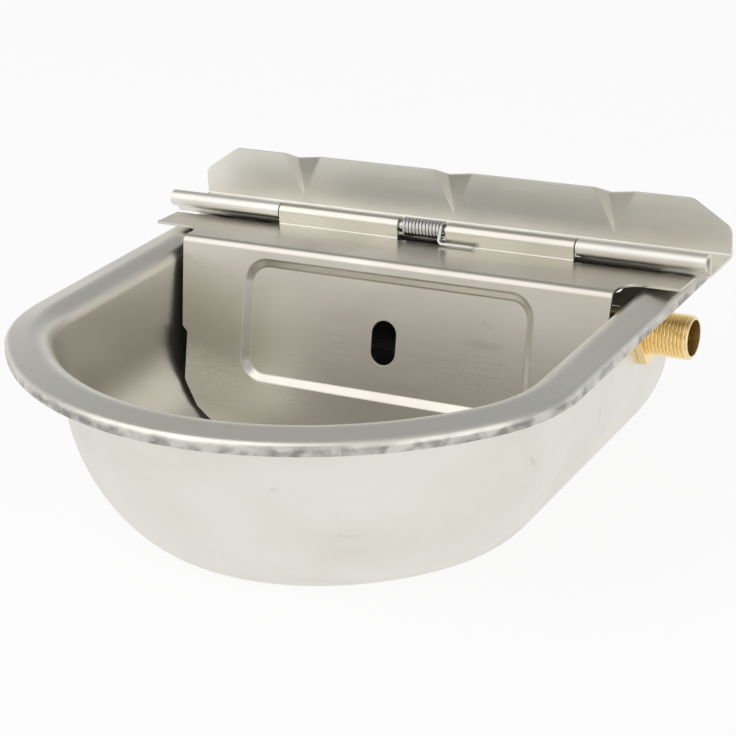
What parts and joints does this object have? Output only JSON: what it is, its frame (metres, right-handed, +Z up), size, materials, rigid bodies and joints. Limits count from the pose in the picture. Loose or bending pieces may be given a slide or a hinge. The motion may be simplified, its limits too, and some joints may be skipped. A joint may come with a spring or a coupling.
{
  "type": "livestock drinking bowl",
  "caption": "Wall-hung livestock drinking bowl of pressed stainless steel: a sprung hinged cover with a slotted guard closes off a float valve fed through a threaded side inlet.",
  "frame": {"origin": "on the wall plane, midway between the two fixing holes in the bowl's rear wall", "axes": "+X towards the water inlet, -Y out from the wall towards the drinking lip, +Z up"},
  "size_m": [0.29, 0.27, 0.1189],
  "materials": {
    "bowl_steel": "pressed stainless, satin",
    "plate_steel": "folded stainless sheet, polished",
    "cover_steel": "folded stainless sheet, polished",
    "pin_steel": "drawn rod",
    "spring_steel": "drawn spring wire",
    "valve_brass": "machined",
    "nut_brass": "machined",
    "nozzle_brass": "machined",
    "seal_rubber": "moulded",
    "plunger_plastic": "moulded",
    "lever_steel": "folded sheet",
    "fixing_steel": "drawn wire and rod",
    "float_plastic": "moulded and welded",
    "wing_brass": "cast"
  },
  "bodies": {
    "bowl_body": {"bowl": "bowl_steel", "wall_plate": "plate_steel", "hinge_pin": "pin_steel", "cover_spring": "spring_steel", "valve_body": "valve_brass", "lock_nut": "nut_brass", "inlet_gasket": "seal_rubber", "nozzle": "nozzle_brass", "nozzle_o_ring": "seal_rubber", "lever_pin": "fixing_steel", "lever_cotter": "fixing_steel"},
    "cover": {"cover": "cover_steel"},
    "plunger": {"plunger": "plunger_plastic", "plunger_seal": "seal_rubber"},
    "float_arm": {"float_lever": "lever_steel", "float_top": "float_plastic", "float_bottom": "float_plastic", "float_stud": "fixing_steel", "stud_washer": "fixing_steel", "wing_nut": "wing_brass"}
  },
  "joints": [
    {"name": "cover_hinge", "type": "hinge", "parent": "bowl_body", "child": "cover", "pos_m": [0, -0.0334, 0.0288], "axis": [-1, 0, 0], "range_deg": [0, 110], "stiffness_Nm_per_rad": 0.3, "springref_deg": -20.05, "deforming": ["cover_spring"]},
    {"name": "float_lift", "type": "hinge", "parent": "bowl_body", "child": "float_arm", "pos_m": [0.082, -0.0413, -0.017], "axis": [0, 1, 0], "range_deg": [0, 6]},
    {"name": "plunger_slide", "type": "slide", "parent": "bowl_body", "child": "plunger", "axis": [1, 0, 0], "range_m": [0, 0.00121]}
  ],
  "couplings": [
    {"joint": "plunger_slide", "follows": "float_lift", "m_per_rad": 0.0115}
  ]
}
